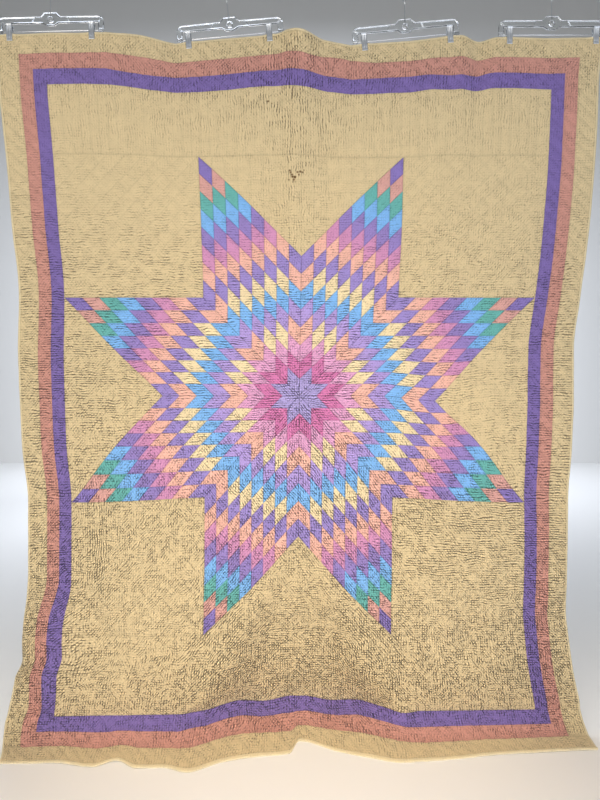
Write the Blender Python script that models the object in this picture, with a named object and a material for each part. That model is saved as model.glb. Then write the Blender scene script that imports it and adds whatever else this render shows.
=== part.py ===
"""A pieced star quilt, hung upright by its top edge from four clip hangers.

The quilt is cut and pieced flat and then hung: every panel is modelled in the flat plane, as (u, v)
from the star's centre, and drape() carries its points to where the hanging cloth puts them.
World: +X to the viewer's right, -Y towards the viewer, +Z up, metres. The origin is the middle of
the pole that the four hooks hang on.
"""

import itertools
import math

import bmesh
import bpy
from mathutils import Matrix, Vector

# Flat patchwork
DIAMOND = 0.056            # side of one small diamond, a 40 mm strip cut at 45 degrees
ACROSS = 8                 # diamonds along each side of a star point
POINT_SIDE = ACROSS * DIAMOND
STAR = (2 + math.sqrt(2)) * POINT_SIDE   # the square that the eight points reach
SIDE_STRIP = 0.041         # purple and salmon strips down the sides
END_STRIP = 0.050          # purple and salmon strips across the ends
OUTER_STRIP = 0.058        # plain strip next to the binding
BINDING = 0.007            # width that the folded binding shows
TOP_PANEL = 0.212          # plain strip that lengthens the field above the star
BOTTOM_PANEL = 0.255       # and the longer one below it
PANEL_ROWS = 4

# Thickness
CLOTH = 0.0040             # two cotton cloths with a thin cotton wadding, quilted together
BOUND = 0.0055             # the same with the binding folded over it
PUFF = 0.0022              # rise of each diamond between its seams
GAP = 0.0005               # left between neighbouring pieces
WALL_ORDER = Vector((1, 0, 0.37))   # side walls are halved in this order; no seam is square to it

# Hanging
NORMAL_STEP = 0.025        # the thickness leans with the cloth's slope over this far each way
TOP_V = STAR / 2 + TOP_PANEL + 2 * END_STRIP + OUTER_STRIP + BINDING
BOTTOM_V = -(STAR / 2 + BOTTOM_PANEL + 2 * END_STRIP + OUTER_STRIP + BINDING)
HALF_WIDTH = STAR / 2 + 2 * SIDE_STRIP + OUTER_STRIP + BINDING

# One row for each level of the flat cloth, from its top edge to its bottom edge:
# v, height, left edge, middle and right edge in x, then depth at the left and at the right edge
LEVELS = (
    ("v", "z", "left", "middle", "right", "left_y", "right_y"),
    (TOP_V, -0.150, -0.941, 0.000, 0.938, 0.000, 0.000),
    (0.977, -0.309, -0.932, 0.000, 0.925, 0.000, 0.000),
    (0.765, -0.513, -0.917, 0.003, 0.921, 0.012, 0.012),
    (0.540, -0.734, -0.902, 0.005, 0.906, 0.022, 0.022),
    (0.313, -0.958, -0.884, 0.003, 0.881, 0.030, 0.030),
    (0.160, -1.112, -0.887, 0.000, 0.862, 0.030, 0.030),
    (0.000, -1.263, -0.882, -0.002, 0.862, 0.030, 0.030),
    (-0.160, -1.424, -0.874, -0.003, 0.855, 0.030, 0.030),
    (-0.313, -1.594, -0.855, -0.005, 0.843, 0.030, 0.030),
    (-0.540, -1.808, -0.855, -0.006, 0.841, 0.030, 0.032),
    (-0.680, -1.938, -0.859, -0.008, 0.838, 0.027, 0.034),
    (-0.765, -2.015, -0.853, -0.009, 0.846, 0.024, 0.036),
    (-0.825, -2.077, -0.851, -0.010, 0.855, 0.019, 0.039),
    (-0.890, -2.143, -0.882, -0.011, 0.866, 0.012, 0.042),
    (-1.020, -2.257, -0.904, -0.012, 0.890, 0.000, 0.050),
    (-1.070, -2.289, -0.892, -0.011, 0.890, 0.000, 0.050),
    (-1.120, -2.307, -0.876, -0.010, 0.887, 0.000, 0.050),
    (BOTTOM_V, -2.310, -0.858, -0.009, 0.883, 0.000, 0.050),
)

# How far forward the bottom edge lies on the floor, along the flat width
HEM = (
    ("u", "y"),
    (-0.912, -0.148),
    (-0.744, -0.146),
    (-0.615, -0.165),
    (-0.550, -0.136),
    (-0.478, -0.171),
    (-0.404, -0.167),
    (-0.325, -0.189),
    (-0.228, -0.143),
    (-0.114, -0.114),
    (-0.023, -0.100),
    (0.007, -0.035),
    (0.129, -0.090),
    (0.220, -0.120),
    (0.311, -0.143),
    (0.402, -0.135),
    (0.493, -0.123),
    (0.614, -0.105),
    (0.736, -0.095),
    (0.912, -0.080),
)

# Share of that forward reach at each level of the border
SPREAD = (
    ("v", "share"),
    (-1.020, 0.00),
    (-1.070, 0.22),
    (-1.120, 0.54),
    (BOTTOM_V, 1.00),
)

PLEAT = (-0.022, 0.004)    # the middle crease folds forward between these, at the bottom edge

# The top edge between its clips: bows forward (fore) and sags (rise below zero), fading downwards
BOWS = (
    ("start", "end", "fore", "rise", "reach"),
    (-0.847, -0.653, 0.004, 0.000, 0.45),
    (-0.597, -0.373, 0.009, 0.003, 0.55),
    (-0.317, -0.158, 0.005, -0.003, 0.45),
    (-0.079, 0.079, 0.026, 0.000, 0.25),
    (-0.079, 0.079, 0.012, 0.000, 0.90),
    (0.238, 0.429, 0.005, -0.006, 0.45),
    (0.485, 0.597, -0.016, -0.008, 0.50),
    (0.653, 0.847, 0.004, -0.004, 0.45),
)
EDGE_FADE = (0.12, 0.55)   # the top edge's ups and downs hold this far down, then fade out by here
EDGE_ROUND = 0.070         # the edge's bends are rounded this far each way
ROUND_DOWN = (0.040, 0.160)  # between these distances below the edge

# The hollow that opens like a fan below the star, between two soft ridges
HOLLOW_TOP = -0.42
HOLLOW_FULL = -1.00
HOLLOW_DEPTH = 0.085
HOLLOW_SPREAD = 0.41       # how fast each side of the fan moves out, going down
HOLLOW_WALL = 0.12         # half width of the sloping cloth at each side
HOLLOW_LIFT = 0.012        # the hem rides up this far where it is drawn back

# Soft troughs and ridges, each along a line in the flat cloth; depth is positive going back
FOLDS = (
    ("u0", "v0", "u1", "v1", "depth", "half_width"),
    (-0.330, -0.980, -0.328, -1.130, 0.014, 0.045),
    (0.335, -0.960, 0.345, -1.090, -0.014, 0.055),
    (-0.690, -0.520, -0.650, -0.960, 0.010, 0.070),
    (-0.500, -0.600, -0.520, -0.980, -0.009, 0.080),
    (0.600, -0.560, 0.560, -0.950, 0.010, 0.080),
    (-0.885, -0.660, -0.880, -0.960, -0.020, 0.050),
    (0.880, -0.540, 0.850, -0.700, -0.010, 0.055),
    (-0.060, 0.900, -0.110, 0.420, 0.006, 0.060),
    (0.075, 0.900, 0.095, 0.400, 0.005, 0.060),
)

# Where the cloth has slipped along itself: most at its centre, none at its rim
SLIPS = (
    ("u", "v", "dx", "dz", "reach_u", "reach_v"),
    (-0.820, -0.790, -0.040, 0.000, 0.140, 0.220),
    (0.000, -0.340, 0.000, 0.024, 0.750, 0.300),
    (0.460, 0.000, 0.000, -0.016, 0.200, 0.200),
    (0.780, 0.000, -0.009, 0.000, 0.160, 0.450),
    (-0.115, -1.020, 0.000, -0.016, 0.100, 0.100),
    (0.125, -1.020, 0.000, -0.016, 0.100, 0.100),
    (0.125, 1.077, 0.000, 0.014, 0.110, 0.055),
    (0.470, 1.020, 0.000, -0.012, 0.100, 0.090),
    (-0.490, 1.030, 0.000, -0.009, 0.110, 0.090),
    (-0.850, -1.080, -0.018, 0.000, 0.110, 0.110),
)

# Clip hangers
HANGERS = (
    ("name", "x", "crown", "tilt", "lean", "clip_left", "clip_right"),
    ("a", -0.772, 0.015, 1.2, 0.0, -0.127, 0.127),
    ("b", -0.218, 0.000, 5.3, 7.0, -0.131, 0.120),
    ("c", 0.325, -0.006, 5.3, 1.0, -0.130, 0.136),
    ("d", 0.779, 0.003, 0.0, 0.0, -0.131, 0.136),
)
HOOK_RISE = 0.115          # from the boss's hole up to the hook's crown
BODY_HALF = 0.165          # half the length of the plastic body
BODY_THICK = 0.006
BEAM_HALF = 0.00925        # half the height of its beam
LEG_WIDTH = 0.017
LEG_FOOT = -0.0385         # foot of each end leg, below the boss's hole
SHOULDER = 0.020           # outer radius where the beam turns down into a leg
BEAM_SWELL = 0.0006        # the beam is this much deeper, above and below, beside its boss
BOSS_TOP = ((0.0295, BEAM_HALF + BEAM_SWELL), (0.0185, 0.0225))
BOSS_FOOT = ((0.0240, -BEAM_HALF - BEAM_SWELL), (0.0120, -0.0178))
BOSS_HOLE = 0.0085
ROD_Z = -0.0345
ROD_RADIUS = 0.0015
WIRE_RADIUS = 0.0014
CLEARANCE = 0.0004
CLOTH_EDGE_Z = -0.0415     # top edge of the cloth, below the boss's hole
EDGE_HOLD = 0.172          # the edge runs true under the hanger this far each way
CLIP_WIDTH = 0.018
LOOP_RADIUS = 0.0190
HOOK_BEND = 0.0120
HEAD_ENDS = (-0.0035, -0.0005)   # the wire's peened head, inside the boss's hole
HEAD_SCALE = 2.0
# One jaw of a clip seen end on, y and z from the rod: its outline, then its inner face below the rod
JAW = (
    (0.0024, -0.0290),
    (0.0038, -0.0290),
    (0.0052, -0.0145),
    (0.0056, 0.0000),
    (0.0090, 0.0220),
    (0.0078, 0.0220),
    (0.0044, 0.0035),
)
JAW_FOOT = ((0.0040, -0.0040), (0.0037, -0.0150), (0.0024, -0.0170))


def rows(table):
    """The rows of a table, each as a dictionary from its column names."""
    names = table[0]
    return [dict(zip(names, row)) for row in table[1:]]


def smooth_step(x):
    """Rises from 0 to 1 as x goes from 0 to 1, level at both ends."""
    x = min(max(x, 0.0), 1.0)
    return x * x * (3 - 2 * x)


def through(xs, ys):
    """A smooth curve through the points, which never overshoots them (monotone cubic)."""
    if xs[0] > xs[-1]:
        xs, ys = xs[::-1], ys[::-1]
    runs = [b - a for a, b in zip(xs, xs[1:])]
    slopes = [(b - a) / run for a, b, run in zip(ys, ys[1:], runs)]
    tangents = [slopes[0]]
    for before, after in zip(slopes, slopes[1:]):
        level = before * after <= 0
        tangents.append(0.0 if level else 2 * before * after / (before + after))
    tangents.append(slopes[-1])

    def value(x):
        x = min(max(x, xs[0]), xs[-1])
        i = max(k for k in range(len(runs)) if k == 0 or xs[k] <= x)
        t = (x - xs[i]) / runs[i]
        a, b = ys[i], ys[i + 1]
        ta, tb = tangents[i] * runs[i], tangents[i + 1] * runs[i]
        return (
            a * (2 * t**3 - 3 * t**2 + 1)
            + b * (3 * t**2 - 2 * t**3)
            + ta * (t**3 - 2 * t**2 + t)
            + tb * (t**3 - t**2)
        )

    return value


def column(table, key, name):
    """A table's column as a smooth function of its key column."""
    picked = rows(table)
    return through([row[key] for row in picked], [row[name] for row in picked])


level = {name: column(LEVELS, "v", name) for name in LEVELS[0][1:]}
hem_reach = column(HEM, "u", "y")
hem_share = column(SPREAD, "v", "share")
bows = rows(BOWS)
folds = rows(FOLDS)
slips = rows(SLIPS)
hangers = rows(HANGERS)


def hanger_frame(row):
    """Carries a hanger's own coordinates, from its boss's hole, to the world."""
    place = Matrix.Translation((row["x"], 0, row["crown"] - HOOK_RISE))
    return place @ Matrix.Rotation(-math.radians(row["tilt"]), 4, "Y")


def edge_knots():
    """Where the top edge runs: straight under each hanger, from one hanger to the next between."""
    knots = []
    for row in hangers:
        frame = hanger_frame(row)
        for end in (-EDGE_HOLD, EDGE_HOLD):
            knots.append(frame @ Vector((end, 0, CLOTH_EDGE_Z)))
    return knots


KNOTS = edge_knots()


def edge_height(x):
    """Height of the top edge at x, before it sags or bows."""
    left, right = KNOTS[0], KNOTS[1]
    for left, right in zip(KNOTS, KNOTS[1:]):
        if x <= right.x:
            break
    return left.z + (right.z - left.z) * (x - left.x) / (right.x - left.x)


def soft_height(x, below):
    """Height of the edge as the cloth a little below it feels it, with its bends rounded off."""
    beside = (edge_height(x - EDGE_ROUND) + edge_height(x + EDGE_ROUND)) / 2
    start, full = ROUND_DOWN
    share = 0.5 * smooth_step((below - start) / (full - start))
    return edge_height(x) * (1 - share) + beside * share


def bow_shape(u, bow):
    """1 in the middle of a bow, 0 at its ends and beyond."""
    share = (u - bow["start"]) / (bow["end"] - bow["start"])
    return 0.5 - 0.5 * math.cos(2 * math.pi * share) if 0 < share < 1 else 0.0


def fold_shape(u, v, fold):
    """1 along a fold's line, fading to 0 across it and at its two ends."""
    along = Vector((fold["u1"] - fold["u0"], fold["v1"] - fold["v0"]))
    offset = Vector((u - fold["u0"], v - fold["v0"]))
    share = offset.dot(along) / along.length_squared
    if not 0 < share < 1:
        return 0.0
    across = abs(offset.x * along.y - offset.y * along.x) / along.length
    return math.sin(math.pi * share) ** 2 * smooth_step(1 - across / fold["half_width"])


def hollow(u, v):
    """Share of the full hollow below the star, 0 outside it."""
    down = (HOLLOW_TOP - v) / (HOLLOW_TOP - HOLLOW_FULL)
    if down <= 0:
        return 0.0
    side = HOLLOW_SPREAD * (HOLLOW_TOP - v)
    wall = HOLLOW_WALL * min(down, 1.0)
    inside = 1 - smooth_step((abs(u) - side + wall) / (2 * wall))
    return min(down, 1.0) ** 1.5 * inside


def slip_shape(u, v, slip):
    """1 in the middle of a slip, 0 round its rim."""
    across, along = (u - slip["u"]) / slip["reach_u"], (v - slip["v"]) / slip["reach_v"]
    return max(1 - across**2 - along**2, 0.0) ** 2


def surface(u, v):
    """Where the middle of the cloth hangs, for a point of the flat quilt."""
    side = u / HALF_WIDTH
    left, middle, right = level["left"](v), level["middle"](v), level["right"](v)
    x = middle + (right - left) / 2 * side + ((right + left) / 2 - middle) * side**2
    z = level["z"](v)
    y = level["left_y"](v) * (1 - side) / 2 + level["right_y"](v) * (1 + side) / 2
    below = TOP_V - v
    hold, gone = EDGE_FADE
    fade = 1 - smooth_step((below - hold) / (gone - hold))
    if fade > 0:
        rise = soft_height(x, below) - level["z"](TOP_V)
        z += fade * (rise + sum(bow["rise"] * bow_shape(u, bow) for bow in bows))
    for bow in bows:
        if below < bow["reach"]:
            y -= bow["fore"] * bow_shape(u, bow) * (1 - below / bow["reach"]) ** 2
    for slip in slips:
        share = slip_shape(u, v, slip)
        x += slip["dx"] * share
        z += slip["dz"] * share
    for fold in folds:
        y += fold["depth"] * fold_shape(u, v, fold)
    sunk = hollow(u, v)
    y += HOLLOW_DEPTH * sunk
    z += HOLLOW_LIFT * sunk * (1 - hem_share(v))
    if v < SPREAD[1][0]:
        share = hem_share(v)
        y = y * (1 - share) + hem_reach(u) * share
    return Vector((x, y, z))


def drape(u, v, out):
    """The hanging place of a flat point that stands out from the cloth's middle towards the front."""
    above, below = min(v + NORMAL_STEP, TOP_V), max(v - NORMAL_STEP, BOTTOM_V)
    along_u = surface(u + NORMAL_STEP, v) - surface(u - NORMAL_STEP, v)
    along_v = surface(u, above) - surface(u, below)
    return surface(u, v) + out * along_u.cross(along_v).normalized()


def new_collection(name):
    collection = bpy.data.collections.new(name)
    bpy.context.scene.collection.children.link(collection)
    return collection


def new_material(name, colour, roughness, metallic=0.0):
    material = bpy.data.materials.new(name)
    material.use_nodes = True
    shader = material.node_tree.nodes["Principled BSDF"]
    shader.inputs["Base Color"].default_value = (*colour, 1.0)
    shader.inputs["Roughness"].default_value = roughness
    shader.inputs["Metallic"].default_value = metallic
    material.diffuse_color = (*colour, 1.0)
    return material


def new_object(name, data, material, collection=None):
    thing = bpy.data.objects.new(name, data)
    (collection or parts).objects.link(thing)
    data.materials.clear()
    data.materials.append(material)
    return thing


def split_walls(sheet, front):
    """Halves each side wall along one diagonal, so that walls that face each other stay parallel."""
    near = {vertex for face in front for vertex in face.verts}
    for face in list(sheet.faces):
        fore = [vertex for vertex in face.verts if vertex in near]
        aft = [vertex for vertex in face.verts if vertex not in near]
        if len(fore) == 2 == len(aft):
            start = min(fore, key=lambda vertex: vertex.co.dot(WALL_ORDER))
            end = max(aft, key=lambda vertex: vertex.co.dot(WALL_ORDER))
            bmesh.utils.face_split(face, start, end)


def hang_piece(name, sheet, material, thick=CLOTH, puff=0.0):
    """Gives a flat sheet its thickness, raises a point in each of its faces, and hangs it."""
    made = bmesh.ops.extrude_face_region(sheet, geom=sheet.faces[:])
    front = [face for face in made["geom"] if isinstance(face, bmesh.types.BMFace)]
    for vertex in sheet.verts:
        vertex.co.y = thick / 2
    for vertex in {vertex for face in front for vertex in face.verts}:
        vertex.co.y = -thick / 2
    split_walls(sheet, front)
    if puff:
        centres = bmesh.ops.poke(sheet, faces=front)["verts"]
        for vertex in centres:
            vertex.co.y = -thick / 2 - puff
    for vertex in sheet.verts:
        vertex.co = drape(vertex.co.x, vertex.co.z, -vertex.co.y)
    bmesh.ops.recalc_face_normals(sheet, faces=sheet.faces[:])
    mesh = bpy.data.meshes.new(name)
    sheet.to_mesh(mesh)
    sheet.free()
    return new_object(name, mesh, material)


def grid_sheet(columns, cells, place):
    """A flat grid of columns by cells, each corner (i, j) put where place(i, j) says."""
    sheet = bmesh.new()
    bmesh.ops.create_grid(sheet, x_segments=columns, y_segments=cells, size=0.5)
    for vertex in sheet.verts:
        i = round((vertex.co.x + 0.5) * columns)
        j = round((vertex.co.y + 0.5) * cells)
        u, v = place(i, j)
        vertex.co = (u, 0, v)
    return sheet


def trimmed(stations):
    """Stations along one side, the first and last drawn in by half the gap between pieces."""
    return [stations[0] + GAP / 2, *stations[1:-1], stations[-1] - GAP / 2]


def rectangle(name, us, vs, material, thick=CLOTH):
    """A rectangular piece with a line of points at each station."""
    us, vs = trimmed(us), trimmed(vs)
    sheet = grid_sheet(len(us) - 1, len(vs) - 1, lambda i, j: (us[i], vs[j]))
    return hang_piece(name, sheet, material, thick)


def turned(angles, a, b):
    """The flat point a along the first of two directions and b along the second."""
    first = Vector((math.cos(angles[0]), math.sin(angles[0])))
    second = Vector((math.cos(angles[1]), math.sin(angles[1])))
    return tuple(first * a + second * b)


def star_point(number, material):
    """One of the eight points: 64 small diamonds between two rays an eighth of a turn apart."""
    angles = (number * math.pi / 4, (number + 1) * math.pi / 4)
    inset = GAP / 2 / math.sin(math.pi / 4)
    side = [inset, *(DIAMOND * i for i in range(1, ACROSS)), POINT_SIDE - inset]
    sheet = grid_sheet(ACROSS, ACROSS, lambda i, j: turned(angles, side[i], side[j]))
    return hang_piece(f"star_point_{number + 1}", sheet, material, puff=PUFF)


def side_triangle(name, quarter, material):
    """The plain triangle between two points, its long side on the star's square."""
    middle = quarter * math.pi / 2
    angles = (middle + math.pi / 4, middle - math.pi / 4)
    apex = Vector((math.cos(middle), math.sin(middle))) * POINT_SIDE
    side = [GAP / 2, *(DIAMOND * i for i in range(1, ACROSS + 1))]

    def place(i, j):
        return tuple(apex + Vector(turned(angles, side[i], side[j])))

    sheet = grid_sheet(ACROSS, ACROSS, place)
    outward = Vector((math.cos(middle), 0, math.sin(middle)))
    bmesh.ops.bisect_plane(
        sheet,
        geom=sheet.verts[:] + sheet.edges[:] + sheet.faces[:],
        dist=GAP / 4,
        plane_co=outward * (STAR / 2 - GAP / 2),
        plane_no=outward,
        clear_outer=True,
    )
    return hang_piece(name, sheet, material)


def block_stations():
    """Where seams meet the star's square: short steps by its corners, long ones in the middle."""
    steps = [DIAMOND] * ACROSS + [DIAMOND * math.sqrt(2)] * ACROSS + [DIAMOND] * ACROSS
    return list(itertools.accumulate(steps, initial=-STAR / 2))


def even_stations(start, end, count):
    return [start + (end - start) * i / count for i in range(count + 1)]


def pleated(us):
    """Stations with the two sides of the pleat in place of the middle one."""
    return sorted([u for u in us if abs(u) > DIAMOND / 2] + list(PLEAT))


def strips_round(label, us, vs, side_width, end_width, material, thick=CLOTH):
    """Four strips round what is already pieced: two down the sides, then two across the ends."""
    wide = [us[0] - side_width, *us, us[-1] + side_width]
    tall = [vs[0] - end_width, *vs, vs[-1] + end_width]
    rectangle(f"{label}_left", wide[:2], vs, material, thick)
    rectangle(f"{label}_right", wide[-2:], vs, material, thick)
    rectangle(f"{label}_top", wide, tall[-2:], material, thick)
    rectangle(f"{label}_bottom", pleated(wide), tall[:2], material, thick)
    return wide, tall


def build_quilt():
    """Pieces the star, fills out its square, lengthens it, borders it and binds it."""
    star = new_material("Star cottons", (0.42, 0.27, 0.42), 0.85)
    tan = new_material("Tan cotton", (0.62, 0.47, 0.25), 0.85)
    salmon = new_material("Salmon cotton", (0.62, 0.30, 0.22), 0.85)
    purple = new_material("Purple cotton", (0.20, 0.13, 0.38), 0.85)
    edge = new_material("Cream binding", (0.70, 0.58, 0.36), 0.85)
    for number in range(8):
        star_point(number, star)
    us = block_stations()
    low, high = us[: ACROSS + 1], us[-ACROSS - 1 :]
    rectangle("corner_square_top_left", low, high, tan)
    rectangle("corner_square_top_right", high, high, tan)
    rectangle("corner_square_bottom_left", low, low, tan)
    rectangle("corner_square_bottom_right", high, low, tan)
    for quarter, place in enumerate(("right", "top", "left", "bottom")):
        side_triangle(f"side_triangle_{place}", quarter, tan)
    upper = even_stations(STAR / 2, STAR / 2 + TOP_PANEL, PANEL_ROWS)
    lower = even_stations(-STAR / 2 - BOTTOM_PANEL, -STAR / 2, PANEL_ROWS)
    rectangle("end_panel_top", us, upper, tan)
    rectangle("end_panel_bottom", pleated(us), lower, tan)
    vs = lower[:-1] + us + upper[1:]
    us, vs = strips_round("purple_strip", us, vs, SIDE_STRIP, END_STRIP, purple)
    us, vs = strips_round("salmon_strip", us, vs, SIDE_STRIP, END_STRIP, salmon)
    us, vs = strips_round("outer_strip", us, vs, OUTER_STRIP, OUTER_STRIP, tan)
    strips_round("binding", us, vs, BINDING, BINDING, edge, BOUND)


def arc(centre, radius, start, end, steps):
    """Points along an arc, angles in degrees."""
    angles = [math.radians(start + (end - start) * i / steps) for i in range(steps + 1)]
    return [(centre[0] + radius * math.cos(a), centre[1] + radius * math.sin(a)) for a in angles]


def flat_curve(name, loops, thick):
    """A flat outline with its holes, filled and given half its thickness each way."""
    curve = bpy.data.curves.new(name, "CURVE")
    curve.dimensions = "2D"
    curve.fill_mode = "BOTH"
    curve.extrude = thick / 2
    for loop in loops:
        spline = curve.splines.new("POLY")
        spline.points.add(len(loop) - 1)
        for point, (a, b) in zip(spline.points, loop):
            point.co = (a, b, 0, 1)
        spline.use_cyclic_u = True
    return curve


def curve_to_mesh(name, curve, matrix, material):
    """Turns an outline into a closed mesh object at the place that matrix gives."""
    guide = bpy.data.objects.new(name + "_outline", curve)
    parts.objects.link(guide)
    evaluated = guide.evaluated_get(bpy.context.evaluated_depsgraph_get())
    mesh = bpy.data.meshes.new_from_object(evaluated)
    bpy.data.objects.remove(guide)
    made = bmesh.new()
    made.from_mesh(mesh)
    bmesh.ops.remove_doubles(made, verts=made.verts[:], dist=0.00001)
    made.to_mesh(mesh)
    made.free()
    thing = new_object(name, mesh, material)
    thing.matrix_world = matrix
    return thing


def cylinder(name, radius, length, matrix, sides, material=None, collection=None):
    """A capped cylinder along its own Z, its middle at the place that matrix gives."""
    made = bmesh.new()
    bmesh.ops.create_cone(
        made, cap_ends=True, segments=sides, radius1=radius, radius2=radius, depth=length
    )
    mesh = bpy.data.meshes.new(name)
    made.to_mesh(mesh)
    made.free()
    thing = new_object(name, mesh, material, collection)
    thing.matrix_world = matrix
    return thing


def bore(thing, name, radius, length, matrix):
    """Cuts a round hole through a piece."""
    cutter = cylinder(name, radius, length, matrix, 12, collection=cutters)
    cutter.hide_render = True
    cutter.display_type = "WIRE"
    cut = thing.modifiers.new(name, "BOOLEAN")
    cut.operation = "DIFFERENCE"
    cut.solver = "EXACT"
    cut.object = cutter


def body_outline():
    """The plastic body seen from the front: a beam with a raised boss, and a leg at each end."""
    shoulder = (BODY_HALF - SHOULDER, BEAM_HALF - SHOULDER)
    right = [
        *reversed(BOSS_TOP),
        *arc(shoulder, SHOULDER, 90, 0, 5),
        (BODY_HALF, LEG_FOOT),
        (BODY_HALF - LEG_WIDTH, LEG_FOOT),
        (BODY_HALF - LEG_WIDTH, -BEAM_HALF),
        *BOSS_FOOT,
    ]
    return right + [(-x, z) for x, z in reversed(right)]


def build_body(label, frame, lean, material):
    """One hanger body, with its bores for the clip rod and for the hook."""
    upright = Matrix.Rotation(math.pi / 2, 4, "X")
    hole = arc((0, 0), BOSS_HOLE, 0, 337.5, 15)
    outline = flat_curve(label, (body_outline(), hole), BODY_THICK)
    body = curve_to_mesh(f"{label}_body", outline, frame @ upright, material)
    along = frame @ Matrix.Translation((0, 0, ROD_Z)) @ Matrix.Rotation(math.pi / 2, 4, "Y")
    bore(body, f"{label}_rod_bore", ROD_RADIUS + CLEARANCE, 3 * BODY_HALF, along)
    rise = BOSS_TOP[1][1]
    upward = Matrix.Translation(frame.translation) @ Matrix.Rotation(-lean, 4, "Y")
    upward = upward @ Matrix.Translation((0, 0, rise))
    bore(body, f"{label}_hook_bore", WIRE_RADIUS + CLEARANCE, 2 * (rise - BOSS_HOLE / 2), upward)


def build_hook(label, place, material):
    """The swivel hook: a headed wire that rises from the boss and loops back over the pole."""
    loop_z = HOOK_RISE - LOOP_RADIUS
    reach = LOOP_RADIUS + HOOK_BEND
    bend_z = loop_z - math.sqrt(reach**2 - HOOK_BEND**2)
    turn = math.degrees(math.atan2(loop_z - bend_z, HOOK_BEND))
    path = [
        *[(0, z) for z in HEAD_ENDS],
        (0, HEAD_ENDS[-1]),
        *arc((-HOOK_BEND, bend_z), HOOK_BEND, 0, turn, 4),
        *arc((0, loop_z), LOOP_RADIUS, 180 + turn, -25, 12)[1:],
    ]
    curve = bpy.data.curves.new(f"{label}_hook", "CURVE")
    curve.dimensions = "3D"
    curve.bevel_depth = WIRE_RADIUS
    curve.bevel_resolution = 2
    curve.use_fill_caps = True
    spline = curve.splines.new("POLY")
    spline.points.add(len(path) - 1)
    for number, (point, (y, z)) in enumerate(zip(spline.points, path)):
        point.co = (0, y, z, 1)
        point.radius = HEAD_SCALE if number < len(HEAD_ENDS) else 1.0
    hook = new_object(f"{label}_hook", curve, material)
    hook.matrix_world = place


def clip_outline():
    """A clip seen from its end, about the rod: two jaws, apart at the top, joined round the rod."""
    side = [*JAW_FOOT, *JAW]
    return side + [(-y, z) for y, z in reversed(side)]


def build_clip(name, place, material):
    """One sprung clip: its jaws close on the cloth and its middle turns on the rod."""
    end_on = Matrix(((0, 0, 1, 0), (1, 0, 0, 0), (0, 1, 0, 0), (0, 0, 0, 1)))
    eye = arc((0, 0), ROD_RADIUS + CLEARANCE, 0, 330, 11)
    outline = flat_curve(name, (clip_outline(), eye), CLIP_WIDTH)
    curve_to_mesh(name, outline, place @ end_on, material)


def build_hangers():
    """Four clip hangers side by side, each with its body, hook, rod and two clips."""
    clear = new_material("Clear styrene", (0.75, 0.80, 0.85), 0.15)
    steel = new_material("Bright steel wire", (0.65, 0.66, 0.68), 0.3, 1.0)
    zinc = new_material("Zinc plated clips", (0.58, 0.60, 0.63), 0.4, 1.0)
    for row in hangers:
        label = f"hanger_{row['name']}"
        frame = hanger_frame(row)
        lean = math.radians(row["lean"])
        build_body(label, frame, lean, clear)
        hook_place = Matrix.Translation(frame.translation) @ Matrix.Rotation(-lean, 4, "Y")
        build_hook(label, hook_place, steel)
        rod_place = frame @ Matrix.Translation((0, 0, ROD_Z))
        lying = rod_place @ Matrix.Rotation(math.pi / 2, 4, "Y")
        cylinder(f"{label}_rod", ROD_RADIUS, 2 * (BODY_HALF - GAP), lying, 10, steel)
        for side in ("left", "right"):
            place = rod_place @ Matrix.Translation((row[f"clip_{side}"], 0, 0))
            build_clip(f"{label}_clip_{side}", place, zinc)


for old in list(bpy.data.objects):
    bpy.data.objects.remove(old, do_unlink=True)
parts = new_collection("Star quilt and clip hangers")
cutters = new_collection("Cutters")
build_quilt()
build_hangers()
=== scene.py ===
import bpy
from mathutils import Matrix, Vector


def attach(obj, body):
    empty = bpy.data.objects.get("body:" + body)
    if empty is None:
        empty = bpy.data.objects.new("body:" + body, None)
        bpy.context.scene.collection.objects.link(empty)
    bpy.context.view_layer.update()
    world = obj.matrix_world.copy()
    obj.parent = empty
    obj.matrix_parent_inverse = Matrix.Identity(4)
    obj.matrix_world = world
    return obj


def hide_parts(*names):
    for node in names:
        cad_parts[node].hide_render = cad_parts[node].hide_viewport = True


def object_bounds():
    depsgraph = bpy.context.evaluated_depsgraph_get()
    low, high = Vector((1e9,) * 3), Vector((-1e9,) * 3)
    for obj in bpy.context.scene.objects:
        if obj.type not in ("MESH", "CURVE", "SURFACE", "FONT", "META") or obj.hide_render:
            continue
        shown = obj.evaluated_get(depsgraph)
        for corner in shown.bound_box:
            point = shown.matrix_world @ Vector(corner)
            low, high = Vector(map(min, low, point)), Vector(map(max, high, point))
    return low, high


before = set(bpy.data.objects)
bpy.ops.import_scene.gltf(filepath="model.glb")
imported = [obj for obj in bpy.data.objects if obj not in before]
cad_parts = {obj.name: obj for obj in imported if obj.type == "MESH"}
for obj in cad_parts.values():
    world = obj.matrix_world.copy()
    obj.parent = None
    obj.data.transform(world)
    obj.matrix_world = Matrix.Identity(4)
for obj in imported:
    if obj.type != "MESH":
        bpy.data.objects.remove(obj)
cad_box = [list(corner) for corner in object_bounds()]

import math

import bmesh
import bpy
import numpy as np
from mathutils import Matrix, Vector
from mathutils.geometry import tessellate_polygon

# The room: a pale floor that the quilt's hem lies on, a pale wall far behind it, and soft daylight
# from one large pane in front at the left and a weaker one at the right. Three more panes lift the
# hem, the wall and the quilt's back. The camera stands square to the quilt's middle, close to it.
FLOOR_Z = cad_box[0][2] - 0.0005
WALL_Y = 8.0
WALL_TALL = 9.0
ROOM_HALF = 14.0  # half the room's width
ROOM_NEAR = -9.0  # where its floor ends, behind the camera
CAMERA = Vector((0.0, -1.857, -1.276))
LENS = 24.0  # mm, on a frame 32 mm tall
FRAME_TALL = 32.0
PAPER = "F4F2EE"
DAYLIGHT = "FFF9F0"
SKYLIGHT = "E8F0FF"


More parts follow.
